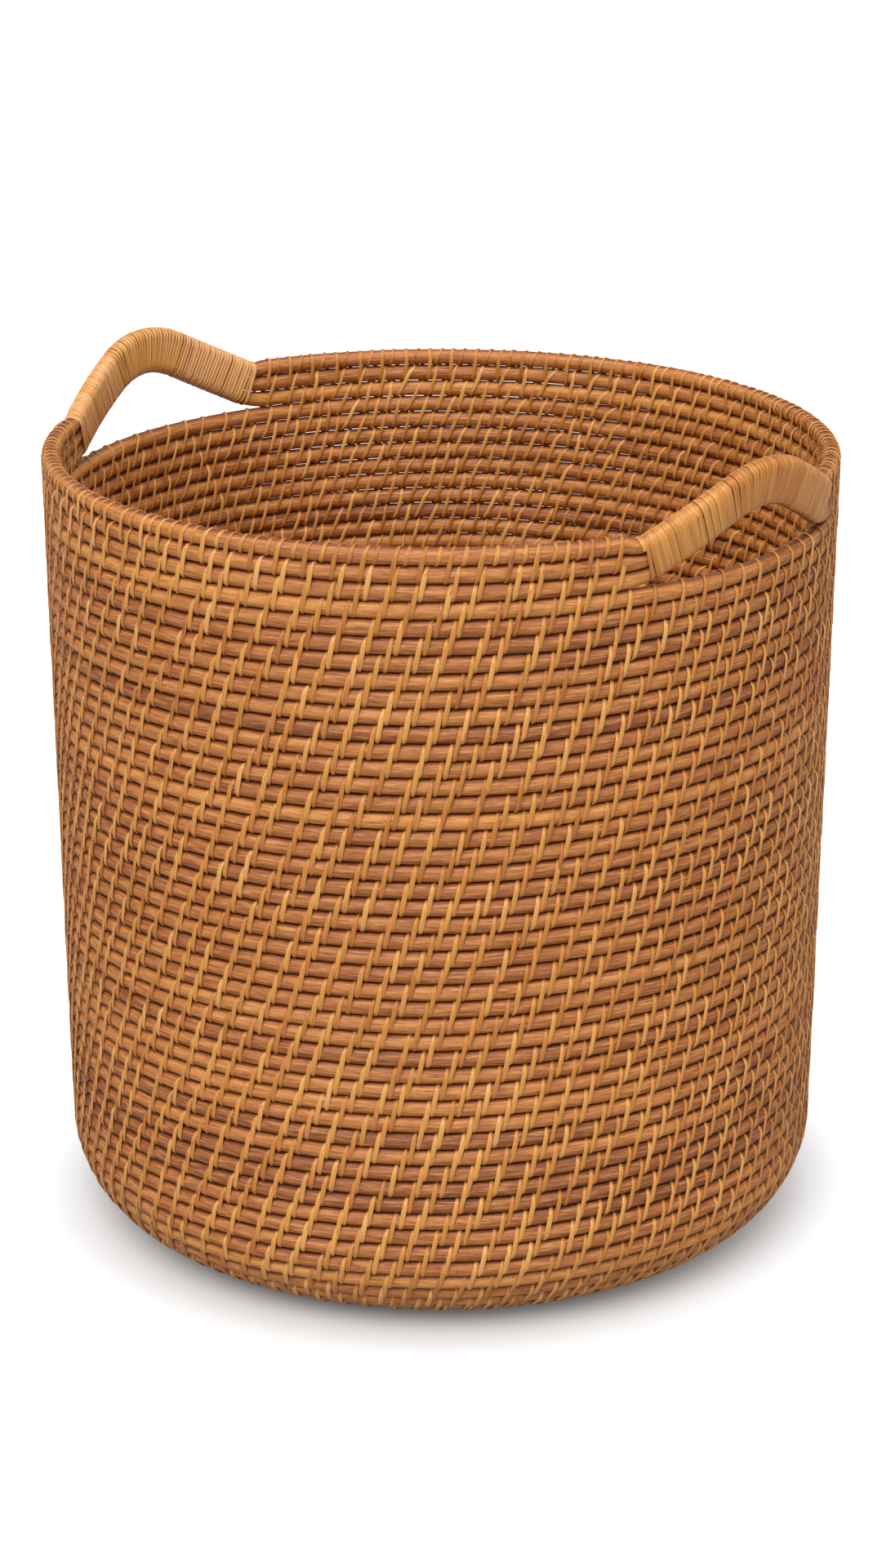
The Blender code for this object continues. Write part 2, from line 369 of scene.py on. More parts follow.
def rod_piece(node, stations, closed):
    """A rod in place of its CAD node."""
    guide = guide_curve(f"{node}_line", stations, closed)
    values = {
        "Rod Radius": ROD_RADIUS * FULLNESS, "Unevenness": ROD_UNEVENNESS,
        "Wander": ROD_WANDER,
        "Seed": chance.uniform(0, 50), "Material": rattan_core,
    }
    rod = worked(guide, f"{node}_rod", rod_work, values)
    rod.data.shade_smooth()
    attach(rod, "root")
    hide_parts(node)
    return rod


BASE_RODS = 3
SPIRAL_START = 0.0068
TAPER_TURNS = 0.92
CAD_STEPS = 20  # straight stretches of a full turn in the CAD rods
FINE = 6  # finer stretches for each of them here
BUTT_GAP = 0.0010
TIP_TURNS = 0.55  # the thinner start, curled up in the middle
BASE_ROD_RUN = 2.0  # of core told for each base rod, which mostly starts a new length
COURSE_GAP = PITCH - ROD_DIAMETER
FULL_STEPS = int((FLOOR_RADIUS - SPIRAL_START) / PITCH * CAD_STEPS)
BASE_TURNS = FULL_STEPS / CAD_STEPS


def spiral_radius(turn):
    """Radius of the coil's middle line, by turns from its start."""
    return FLOOR_RADIUS - PITCH * (BASE_TURNS - turn)


def base_station(turn, tone):
    """Place and size of the base's rod: thinner at its start, a point at its end."""
    radius, size = spiral_radius(turn), min(1.0, 1.0 + turn)
    if turn > BASE_TURNS:
        inner = spiral_radius(turn - 1) + PITCH / 2
        outer = FLOOR_RADIUS + PITCH / 2
        radius = (inner + outer) / 2
        size = (outer - inner - COURSE_GAP / 2) / ROD_DIAMETER
    outward = Vector((math.cos(turn * TURN), math.sin(turn * TURN), 0.0))
    return outward * radius + UP * ROD_RADIUS, -UP, size, tone


joints = [round(FULL_STEPS * math.sqrt(i / BASE_RODS)) for i in range(BASE_RODS)]
joints.append(FULL_STEPS + TAPER_TURNS * CAD_STEPS)
for number, (first, last) in enumerate(zip(joints, joints[1:]), 1):
    tone = tones.send(BASE_ROD_RUN)
    steps = int((last - first) * FINE)
    turns = [(first + i / FINE) / CAD_STEPS for i in range(steps + 1)]
    if first:
        turns[0] += BUTT_GAP / (TURN * spiral_radius(turns[0]))
    else:
        tip_steps = int(TIP_TURNS * CAD_STEPS * FINE)
        turns = [-i / FINE / CAD_STEPS for i in range(tip_steps, 0, -1)] + turns
    rod_piece(f"base_coil_{number}", [base_station(t, tone) for t in turns], False)


# === The hoops of the wall ==================================================
# The same peeled core, each length bent round and spliced to the next with a
# slanting cut, so the colour changes from rod to rod at a splice.

HOOP_STEPS = 120
CORNER_COURSES = int(CORNER_LENGTH / PITCH)
HANDLE_COURSES = 3
LOWEST_HANDLE_COURSE = COURSES - HANDLE_COURSES + 1


def course_place(course):
    """Radius, height and slope of a hoop's middle."""
    along = course * PITCH
    turn = min(along, CORNER_LENGTH) / CORNER_RADIUS
    rise = max(along - CORNER_LENGTH, 0.0)
    radius = FLOOR_RADIUS + CORNER_RADIUS * math.sin(turn) + rise * math.cos(turn)
    height = ROD_RADIUS + CORNER_RADIUS * (1 - math.cos(turn)) + rise * math.sin(turn)
    return radius, height, turn


def frame_at(angle, slope):
    """Unit vectors at an angle round the axis: up the wall, out of it, round it."""
    outward = Vector((math.cos(angle), math.sin(angle), 0.0))
    around = Vector((-math.sin(angle), math.cos(angle), 0.0))
    up_wall = outward * math.cos(slope) + UP * math.sin(slope)
    off_wall = outward * math.sin(slope) - UP * math.cos(slope)
    return up_wall, off_wall, around


def course_station(course, angle, tone):
    """One point of a level hoop."""
    radius, height, slope = course_place(course)
    off_wall = frame_at(angle, slope)[1]
    middle = Vector((math.cos(angle) * radius, math.sin(angle) * radius, height))
    return middle, off_wall, 1.0, tone


def plain_hoop(node, course):
    """A whole level hoop."""
    step = TURN / HOOP_STEPS
    length = step * course_place(course)[0]
    stations = [course_station(course, i * step, tones.send(length))
                for i in range(HOOP_STEPS)]
    return rod_piece(node, stations, True)


for course in range(1, LOWEST_HANDLE_COURSE):
    kind = "corner" if course <= CORNER_COURSES else "wall"
    plain_hoop(f"{kind}_hoop_{course:02d}", course)


# === The hoops that rise over the handles ===================================
# The top three courses, steamed and bent up together at both sides. Over a
# handle the winding presses them closer.

BINDING_SQUEEZE = 0.0011
HANDLE_PITCH = PITCH - BINDING_SQUEEZE
HANDLE_BEND = 0.050
FOOT_BEND = 0.040
PRESSED = (HANDLE_PITCH - COURSE_GAP) / ROD_DIAMETER
HANDLES = {  # place round the rim, span, slope of the flanks, lean out of the wall
    "right": (math.radians(-2.4), 0.150, math.radians(25.0), math.radians(8.0)),
    "left": (math.radians(182.4), 0.156, math.radians(26.5), 0.0),
}
ARC_STEPS = 8
FLANK_STEPS = 6


def handle_line(span, flank):
    """The lowest handle course, unrolled: (along, up, tilt, how far it is on the flank)."""
    half = span / 2
    reach = FOOT_BEND * math.tan(flank / 2)
    left = []
    for i in range(ARC_STEPS + 1):
        tilt = flank * i / ARC_STEPS
        along = -half - reach + FOOT_BEND * math.sin(tilt)
        left.append((along, FOOT_BEND * (1 - math.cos(tilt)), tilt, i / ARC_STEPS))
    start, end = left[-1][0], -HANDLE_BEND * math.sin(flank)
    for i in range(1, FLANK_STEPS):
        along = start + (end - start) * i / FLANK_STEPS
        left.append((along, (along + half) * math.tan(flank), flank, 1.0))
    top = (half + end) * math.tan(flank) - HANDLE_BEND * math.cos(flank)
    for i in range(ARC_STEPS):
        tilt = flank * (1 - i / ARC_STEPS)
        along = -HANDLE_BEND * math.sin(tilt)
        left.append((along, top + HANDLE_BEND * math.cos(tilt), tilt, 1.0))
    crest = (0.0, top + HANDLE_BEND, 0.0, 1.0)
    right = [(-along, up, -tilt, share) for along, up, tilt, share in reversed(left)]
    return left + [crest] + right


def handle_station(handle, spot, course, tone):
    """A handle course at one spot of the line."""
    middle_angle, _, _, lean = handle
    along, up, tilt, share = spot
    share = share * share * (3 - 2 * share)
    radius, height, wall_slope = course_place(LOWEST_HANDLE_COURSE)
    angle = middle_angle + along / radius
    up_wall, off_wall, around = frame_at(angle, wall_slope - lean * share)
    foot = Vector((math.cos(angle) * radius, math.sin(angle) * radius, height))
    long_axis = up_wall * math.cos(tilt) - around * math.sin(tilt)
    pitch = PITCH + (HANDLE_PITCH - PITCH) * share
    step = (course - LOWEST_HANDLE_COURSE) * pitch
    size = 1.0 + (PRESSED - 1.0) * share
    return foot + up_wall * up + long_axis * step, off_wall, size, tone


def foot_angles(handle):
    """Where a handle's line leaves the level at its two sides."""
    middle_angle, span, flank, _ = handle
    reach = span / 2 + FOOT_BEND * math.tan(flank / 2)
    swing = reach / course_place(LOWEST_HANDLE_COURSE)[0]
    return middle_angle - swing, middle_angle + swing


SPOT_LENGTH = 0.005  # of rod, roughly, between two spots of a handle's line


def raised_hoop(node, course):
    """A whole hoop that rises over both handles."""
    stations = []
    sides = list(HANDLES.values())
    for handle, following in zip(sides, sides[1:] + sides[:1]):
        for spot in handle_line(handle[1], handle[2]):
            tone = tones.send(SPOT_LENGTH)
            stations.append(handle_station(handle, spot, course, tone))
        start = foot_angles(handle)[1]
        end = foot_angles(following)[0]
        if end < start:
            end += TURN
        count = round((end - start) / TURN * HOOP_STEPS)
        step = (end - start) / count
        for i in range(1, count):
            tone = tones.send(step * RIM_RADIUS)
            stations.append(course_station(course, start + i * step, tone))
    return rod_piece(node, stations, True)


for course in range(LOWEST_HANDLE_COURSE, COURSES):
    raised_hoop(f"handle_hoop_{course:02d}", course)
raised_hoop("rim_hoop", COURSES)


# === The lashing ============================================================
# Strips of split cane, glossy on their skin side. A strip goes round two courses,
# up the outside and down the inside, and moves on one stitch with every loop.

STATIONS = 14  # of one loop: seven round each of its two ends
STATION_TURN = math.radians(30)  # from one station to the next, round an end
STITCH = 0.01385  # from one stitch to the next
LOWEST_STITCH = 0.0122  # where the wall starts
STITCHES = 93
CHAIN_SHIFT = 0.0045  # a stitch stands this far along from the one below it
STRIP_WIDTH = 0.0025
STRIP_THICKNESS = 0.0008
LOOP_RADIUS = ROD_RADIUS * FULLNESS + 0.25 * STRIP_THICKNESS
EDGE_ANGLE = math.radians(60)  # the cut edges of a strip stay crisp
STRIP_SIDES = 6
OUTSIDE_LEAN = 0.0035  # how far a stitch slants along the rods
INSIDE_LEAN = 0.0066
COLUMN_WANDER = 0.83  # noise steps from one stitch to the next, shared by the rows
ROW_WANDER = 0.21  # and from one row to the next
OWN_WANDER = (0.91, 3.7)  # the same for a stitch's own part, which rows don't share
OWN_ROW_START = 40.0
OWN_SHARE = 0.25
WIDTH_LEAST = 0.92
WIDTH_SPREAD = 0.16
INNER_SLIM = 0.2  # how much narrower a strip looks inside the basket
BATCH_SEED_STEP = 500.0


def advance_curve(node, reach, radius, outside, inside, pitch):
    """How far along the guide the strip is, as a share of a stitch, round its loop."""
    arc, straight = radius * 2 * STATION_TURN, 2 * reach
    out_arc = outside * arc / (2 * arc + straight) / pitch
    in_arc = inside * arc / (2 * arc + straight) / pitch
    between = (pitch - outside - inside) / 2 / pitch
    out_side = outside / pitch - 2 * out_arc
    in_side = inside / pitch - 2 * in_arc
    done = 0.0
    points = [(0, 0.0)]
    for station, share in ((2, out_arc), (4, between), (6, in_arc), (7, in_side),
                           (9, in_arc), (11, between), (13, out_arc), (14, out_side)):
        done += share
        points.append((station, done))
    curve = node.mapping.curves[0]
    for station, height in points[1:-1]:
        curve.points.new(station / STATIONS, height)
    for point in curve.points:
        point.handle_type = "VECTOR"
    node.mapping.update()


def strip_tree(name, reach, radius, outside, inside, pitch):
    """A strip of cane looped round two or more rods, all along its guide."""
    inputs = [
        ("Loops", "Int"), ("Stitches", "Float"), ("Phase", "Float"),
        ("First Chain", "Int"), ("Row", "Float"),
        ("Half Reach", "Float"), ("Loop Radius", "Float"), ("Closed", "Bool"),
        ("Width", "Float"), ("Thickness", "Float"), ("Shift", "Float"),
        ("Lift", "Float"), ("Every Second Short", "Bool"), ("Batch", "Float"),
        ("Pinch", "Float"), ("Tone", "Float"), ("Tone Spread", "Float"), ("Seed", "Int"),
        ("Material", "Material"),
    ]
    tree, given, result = new_tree(name, inputs)
    index = put(tree, "GeometryNodeInputIndex").outputs[0]
    loop = calc(tree, "FLOOR", calc(tree, "DIVIDE", calc(tree, "ADD", index, 0.5), STATIONS))
    station = calc(tree, "SUBTRACT", index, calc(tree, "MULTIPLY", loop, STATIONS))
    lower = calc(tree, "GREATER_THAN", station, 6.5)
    odd = calc(tree, "MULTIPLY", calc(tree, "FLOORED_MODULO", loop, 2.0),
               given["Every Second Short"])
    long_turned = calc(tree, "MULTIPLY", calc(tree, "SUBTRACT", station, lower),
                       STATION_TURN)
    short_turned = calc(tree, "MULTIPLY", station, TURN / STATIONS)
    turned = put(tree, "ShaderNodeMix", {"data_type": "FLOAT"},
                 {0: odd, 2: long_turned, 3: short_turned}).outputs[0]
    drop = calc(tree, "MULTIPLY", calc(tree, "MULTIPLY", lower, 2.0),
                calc(tree, "SUBTRACT", 1.0, odd))
    centre = calc(tree, "MULTIPLY", given["Half Reach"], calc(tree, "SUBTRACT", 1.0, drop))

    share = calc(tree, "DIVIDE", station, STATIONS)
    advance = put(tree, "ShaderNodeFloatCurve", None, {"Value": share})
    advance_curve(advance, reach, radius, outside, inside, pitch)
    passing = put(tree, "ShaderNodeMapRange", {"interpolation_type": "SMOOTHSTEP"},
                  {0: station, 1: 3.0, 2: 10.0, 3: 0.0, 4: 1.0}).outputs[0]
    chain = calc(tree, "ADD", calc(tree, "ADD", loop, passing), given["First Chain"])
    chain = calc(tree, "FLOORED_MODULO", chain, float(STITCHES))
    spot = put(tree, "ShaderNodeCombineXYZ", None,
               {0: calc(tree, "MULTIPLY", chain, COLUMN_WANDER),
                1: calc(tree, "MULTIPLY", given["Row"], ROW_WANDER)}).outputs[0]
    own = put(tree, "ShaderNodeCombineXYZ", None,
              {0: calc(tree, "MULTIPLY", chain, OWN_WANDER[0]),
               1: calc(tree, "MULTIPLY_ADD", given["Row"], OWN_WANDER[1],
                       OWN_ROW_START)}).outputs[0]
    wanders = []
    for vector in (spot, own):
        noise = put(tree, "ShaderNodeTexNoise", {"noise_dimensions": "2D"},
                    {"Vector": vector, "Scale": 1.0, "Detail": 0.0})
        wanders.append(calc(tree, "SUBTRACT", noise.outputs[0], 0.5))
    wander = calc(tree, "MULTIPLY_ADD", wanders[1], OWN_SHARE, wanders[0])
    wander = calc(tree, "MULTIPLY", wander, given["Shift"])
    lift = calc(tree, "MULTIPLY", calc(tree, "ADD", wanders[1], 0.25), given["Lift"])
    rod_round = calc(tree, "ADD", given["Loop Radius"], lift)
    high = calc(tree, "MULTIPLY_ADD", calc(tree, "SINE", turned), rod_round, centre)
    wide = calc(tree, "MULTIPLY", calc(tree, "COSINE", turned), rod_round)

    moved = put(tree, "ShaderNodeMix", {"data_type": "FLOAT"},
                {0: odd, 2: advance.outputs[0], 3: share}).outputs[0]
    progress = calc(tree, "ADD", calc(tree, "ADD", loop, moved),
                    calc(tree, "ADD", wander, given["Phase"]))
    progress = calc(tree, "DIVIDE", progress, given["Stitches"])
    wrapped = calc(tree, "FRACT", progress)
    progress = put(tree, "GeometryNodeSwitch", {"input_type": "FLOAT"},
                   {0: given["Closed"], 1: progress, 2: wrapped}).outputs[0]
    line = put(tree, "GeometryNodeMeshToCurve", None, {"Mesh": given["Geometry"]}).outputs[0]
    sample = put(
        tree, "GeometryNodeSampleCurve",
        {"mode": "FACTOR", "data_type": "FLOAT_VECTOR", "use_all_curves": False},
        {"Curves": line, "Value": named(tree, "FLOAT_VECTOR", "across"), "Factor": progress},
    ).outputs
    across = vector_calc(tree, "NORMALIZE", sample["Value"])
    long_axis = vector_calc(tree, "CROSS_PRODUCT", across, sample["Tangent"])
    place = vector_calc(tree, "ADD", sample["Position"], scaled(tree, long_axis, high))
    place = vector_calc(tree, "ADD", place, scaled(tree, across, wide))
    out = vector_calc(
        tree, "ADD", scaled(tree, long_axis, calc(tree, "SINE", turned)),
        scaled(tree, across, calc(tree, "COSINE", turned)),
    )

    single = calc(tree, "SUBTRACT", 1.0, given["Closed"])
    count = calc(tree, "MULTIPLY_ADD", given["Loops"], STATIONS, single)
    strip = put(tree, "GeometryNodeMeshLine", None, {"Count": count}).outputs[0]
    strip = stored(tree, strip, "FLOAT_VECTOR", "out", out)
    tint = put(tree, "FunctionNodeRandomValue", {"data_type": "FLOAT"},
               {"ID": calc(tree, "ADD", loop, calc(tree, "GREATER_THAN", station, 8.5)),
                "Seed": given["Seed"]}).outputs[1]
    length = calc(tree, "FLOOR", calc(tree, "DIVIDE", loop, given["Batch"]))
    batch = put(tree, "FunctionNodeRandomValue", {"data_type": "FLOAT"},
                {"ID": length, "Seed": calc(tree, "ADD", given["Seed"], BATCH_SEED_STEP)}).outputs[1]
    tone = calc(tree, "MULTIPLY_ADD", calc(tree, "SUBTRACT", tint, 0.5),
                given["Tone Spread"], given["Tone"])
    strip = stored(tree, strip, "FLOAT", "tone", tone)
    strip = stored(tree, strip, "FLOAT", "batch", batch)
    strip = stored(tree, strip, "FLOAT", "run", calc(tree, "ADD", loop, share))
    gap = calc(tree, "ABSOLUTE", calc(tree, "SINE", turned))
    # painted shade where a strip dives between two rods, stronger at its lower end
    painted_dip_shade = calc(tree, "MULTIPLY", gap, calc(tree, "MULTIPLY_ADD", lower, 0.25, 0.75))
    strip = stored(tree, strip, "FLOAT", "painted_dip_shade", painted_dip_shade)
    slim = calc(tree, "SUBTRACT", 1.0, calc(tree, "MULTIPLY", gap, given["Pinch"]))
    own_width = calc(tree, "MULTIPLY_ADD", tint, WIDTH_SPREAD, WIDTH_LEAST)
    slim = calc(tree, "MULTIPLY", slim, own_width)
    inner = calc(tree, "MULTIPLY", calc(tree, "COSINE", turned), -1.0)
    inner = calc(tree, "MAXIMUM", inner, 0.0)
    slim = calc(tree, "MULTIPLY", slim,
                calc(tree, "MULTIPLY_ADD", inner, -INNER_SLIM, 1.0))
    strip = stored(tree, strip, "FLOAT", "slim", slim)
    strip = put(tree, "GeometryNodeSetPosition", None,
                {"Geometry": strip, "Position": place}).outputs[0]
    strip = put(tree, "GeometryNodeMeshToCurve", None, {"Mesh": strip}).outputs[0]
    strip = put(tree, "GeometryNodeSetSplineCyclic", None,
                {"Geometry": strip, "Cyclic": given["Closed"]}).outputs[0]
    strip = put(tree, "GeometryNodeSetCurveNormal", {"mode": "FREE"},
                {"Curve": strip, "Normal": named(tree, "FLOAT_VECTOR", "out")}).outputs[0]
    ring = put(tree, "GeometryNodeCurvePrimitiveCircle", {"mode": "RADIUS"},
               {"Resolution": STRIP_SIDES, "Radius": 1.0}).outputs[0]
    spot = put(tree, "GeometryNodeInputPosition").outputs[0]
    ring = stored(tree, ring, "FLOAT_VECTOR", "section", spot)
    quarter = put(tree, "ShaderNodeVectorRotate", {"rotation_type": "Z_AXIS"},
                  {"Vector": spot, "Angle": math.radians(90)}).outputs[0]
    flat_height = math.sin(math.radians(60))  # of a hexagon's flats from its middle
    size = put(tree, "ShaderNodeCombineXYZ", None,
               {0: calc(tree, "MULTIPLY", given["Thickness"], 0.5 / flat_height),
                1: calc(tree, "MULTIPLY", given["Width"], 0.5)}).outputs[0]
    ring = put(tree, "GeometryNodeSetPosition", None,
               {"Geometry": ring,
                "Position": vector_calc(tree, "MULTIPLY", quarter, size)}).outputs[0]
    strip = put(tree, "GeometryNodeCurveToMesh", None,
                {"Curve": strip, "Profile Curve": ring, "Fill Caps": True,
                 "Scale": named(tree, "FLOAT", "slim")}).outputs[0]
    strip = put(tree, "GeometryNodeSetMaterial", None,
                {"Geometry": strip, "Material": given["Material"]}).outputs[0]
    strip = put(tree, "GeometryNodeRealizeInstances", None, {"Geometry": strip}).outputs[0]
    tree.links.new(strip, result.inputs[0])
    return tree


CANE_ORANGE = (0.45, 0.145, 0.022)
CANE_GOLD = (0.59, 0.230, 0.040)
CANE_STRAW = (0.73, 0.345, 0.080)
CANE_PALE = (0.82, 0.43, 0.17)
CANE_STREAK_SHADE = (0.58, 0.42, 0.30, 1)
KNOT_SHADE = (0.45, 0.22, 0.12, 1)
DIP_PAINTED_SHADE = (0.42, 0.26, 0.15, 1)  # painted shade where a strip dives between two rods
CANE_FINENESS = 2300.0
SKIN_SPAN = 0.0013  # about half a strip's width, for the pattern
SIDE_SPAN = 0.0005  # about half its thickness
LOOP_LENGTH = 0.055  # of strip in one loop
CANE_STRETCH = 0.045
TONE_DRIFT = 90.0


def cane_material(fibres):
    """Split cane with its skin on: honey gold, smooth, with a soft gloss."""
    material, tree, principled = shader("split_cane_skin")
    section = attribute(tree, "section").outputs["Vector"]
    run = attribute(tree, "run").outputs["Fac"]
    tone = attribute(tree, "tone").outputs["Fac"]
    batch = attribute(tree, "batch").outputs["Fac"]
    sides = put(tree, "ShaderNodeSeparateXYZ", None, {0: section}).outputs
    fibre = put(tree, "ShaderNodeCombineXYZ", None,
                {0: calc(tree, "MULTIPLY", sides[0], SKIN_SPAN),
                 1: calc(tree, "MULTIPLY", sides[1], SIDE_SPAN),
                 2: calc(tree, "MULTIPLY", run, LOOP_LENGTH * CANE_STRETCH)})
    grain = put(tree, "ShaderNodeGroup", {"node_tree": fibres},
                {"Fibre": fibre.outputs[0], "Fineness": CANE_FINENESS,
                 "Drift": calc(tree, "MULTIPLY", tone, TONE_DRIFT)}).outputs
    hue = calc(tree, "MULTIPLY_ADD", tone, 0.55, calc(tree, "MULTIPLY", batch, 0.40))
    patch = calc(tree, "SUBTRACT", grain["Patches"], 0.5)
    hue = calc(tree, "MULTIPLY_ADD", patch, 0.7, hue)
    base = ramp(tree, hue, ((0.0, CANE_ORANGE), (0.36, CANE_GOLD), (0.72, CANE_STRAW),
                            (1.0, CANE_PALE)))
    dark = spread(tree, grain["Streaks"], 0.32, 0.50, 0.75, 0.0)
    base = mixed(tree, "MULTIPLY", dark, base, CANE_STREAK_SHADE)
    on_skin = put(tree, "ShaderNodeCombineXYZ", None,
                  {0: calc(tree, "MULTIPLY", run, 5.0), 1: sides[0]}).outputs[0]
    knots = put(tree, "ShaderNodeTexNoise", {"noise_dimensions": "2D"},
                {"Vector": on_skin, "Scale": 1.3, "Detail": 1.0}).outputs[0]
    base = mixed(tree, "MULTIPLY", spread(tree, knots, 0.69, 0.76, 0.0, 0.85), base,
                 KNOT_SHADE)
    # painted shade where a strip dives between two rods
    painted_dip_shade = attribute(tree, "painted_dip_shade").outputs["Fac"]
    base = mixed(tree, "MULTIPLY", spread(tree, painted_dip_shade, 0.62, 0.98, 0.0, 0.85), base,
                 DIP_PAINTED_SHADE)
    tree.links.new(base, principled.inputs["Base Color"])
    tree.links.new(spread(tree, grain["Streaks"], 0.3, 0.7, 0.46, 0.32),
                   principled.inputs["Roughness"])
    bump = put(tree, "ShaderNodeBump", None,
               {"Strength": 0.5, "Distance": 0.0003, "Height": grain["Streaks"]})
    tree.links.new(bump.outputs[0], principled.inputs["Normal"])
    return material


split_cane = cane_material(fibres)
lashing_work = strip_tree("Course Lashing", PITCH / 2, LOOP_RADIUS,
                          OUTSIDE_LEAN, INSIDE_LEAN, STITCH)


def lash(name, stations, closed, stitches, phase, first_chain, row, short=False, work=None):
    """One strip of lashing along a guide on which a given number of stitches fits."""
    guide = guide_curve(f"{name}_line", stations, closed)
    values = {
        "Loops": round(stitches) if closed else int(stitches - phase),
        "Stitches": float(stitches), "Phase": phase, "First Chain": first_chain,
        "Row": float(row),
        "Half Reach": PITCH / 2, "Loop Radius": LOOP_RADIUS, "Closed": closed,
        "Width": STRIP_WIDTH, "Thickness": STRIP_THICKNESS, "Shift": 0.55,
        "Lift": 0.0005, "Every Second Short": short, "Batch": 37.0, "Pinch": 0.3,
        "Tone": 0.38, "Tone Spread": 0.85, "Seed": int(row) + 11, "Material": split_cane,
    }
    strip = worked(guide, name, work or lashing_work, values)
    strip.data.shade_smooth()
    strip.data.set_sharp_from_angle(angle=EDGE_ANGLE)
    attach(strip, "root")
    return strip


def between_courses(course, angle):
    """The line between a course and the next one."""
    below, above = course_place(course), course_place(course + 1)
    radius, height = (below[0] + above[0]) / 2, (below[1] + above[1]) / 2
    slope = math.atan2(above[1] - below[1], above[0] - below[0])
    off_wall = frame_at(angle, slope)[1]
    middle = Vector((math.cos(angle) * radius, math.sin(angle) * radius, height))
    return middle, off_wall, 1.0, 0.5


def chain_phase(course):
    """How many stitches a row is ahead of the lowest one."""
    return course * CHAIN_SHIFT / STITCH


for course in range(LOWEST_HANDLE_COURSE - 1):
    radius = course_place(course)[0]
    stitches = min(STITCHES, round(TURN * radius / LOWEST_STITCH))
    line = [between_courses(course, i * TURN / HOOP_STEPS) for i in range(HOOP_STEPS)]
    phase = chain_phase(course)
    lash(f"lashing_{course:02d}", line, True, stitches, phase % 1.0,
         -math.floor(phase), course)


def side_line(course, start_share):
    """Guides between the two handles, on both sides, that climb into the foot bends."""
    sides = list(HANDLES.values())
    for handle, following in zip(sides, sides[1:] + sides[:1]):
        leaving = handle_line(handle[1], handle[2])[-ARC_STEPS - 1:]
        coming = handle_line(following[1], following[2])[:ARC_STEPS + 1]
        line = [handle_station(handle, spot, course, 0.5)
                for spot in leaving if spot[3] <= start_share]
        start, end = foot_angles(handle)[1], foot_angles(following)[0]
        if end < start:
            end += TURN
        count = round((end - start) / TURN * HOOP_STEPS)
        step = (end - start) / count
        line += [course_station(course, start + i * step, 0.5) for i in range(1, count)]
        line += [handle_station(following, spot, course, 0.5)
                 for spot in coming if spot[3] <= start_share]
        yield line


def line_length(line):
    """Length of a guide."""
    return sum((b[0] - a[0]).length for a, b in zip(line, line[1:]))


def in_chain(line, course):
    """Stitches that fit on a side's guide, and where they meet the chains below."""
    start = line[0][0]
    turned = math.atan2(start.y, start.x) / TURN * STITCHES - chain_phase(course)
    hoop = TURN * course_place(course + 0.5)[0]
    return line_length(line) / hoop * STITCHES, -turned % 1.0, math.floor(turned) + 1


for course, share in ((46, 0.1), (47, 0.8)):
    for side, line in zip(("back", "front"), side_line(course + 0.5, share)):
        stitches, phase, first_chain = in_chain(line, course)
        lash(f"lashing_{course}_{side}", line, False, stitches, phase, first_chain, course)


BASE_LASHING_START = 0.6  # turns from the start of the coil
BASE_STITCH = 0.0125
base_line = []
for i in range(int(BASE_LASHING_START * CAD_STEPS * FINE), FULL_STEPS * FINE + 1):
    turn = i / FINE / CAD_STEPS
    outward = Vector((math.cos(turn * TURN), math.sin(turn * TURN), 0.0))
    radius = spiral_radius(turn) - PITCH / 2
    base_line.append((outward * radius + UP * ROD_RADIUS, -UP, 1.0, 0.5))
lash("base_lashing", base_line, False, line_length(base_line) / BASE_STITCH, 0.0, 0, -9)


# === The lashing of the rim =================================================
# The last strip goes twice as close: one loop round the top two courses, then
# one round the rim rod alone.

RIM_STITCH = STITCH / 2
RIM_OUTSIDE_LEAN = 0.0036
RIM_INSIDE_LEAN = 0.0022
rim_work = strip_tree("Rim Lashing", PITCH / 2, LOOP_RADIUS,
                      RIM_OUTSIDE_LEAN, RIM_INSIDE_LEAN, RIM_STITCH)
for side, line in zip(("back", "front"), side_line(COURSES - 0.5, 0.8)):
    stitches, phase, first_chain = in_chain(line, COURSES - 1)
    lash(f"rim_lashing_{side}", line, False, 2 * stitches, 2 * phase, first_chain,
         COURSES, True, rim_work)


# === The windings of the handles ============================================
# The same cane wound turn against turn round the three rods of a handle, so
# that nothing of them shows.

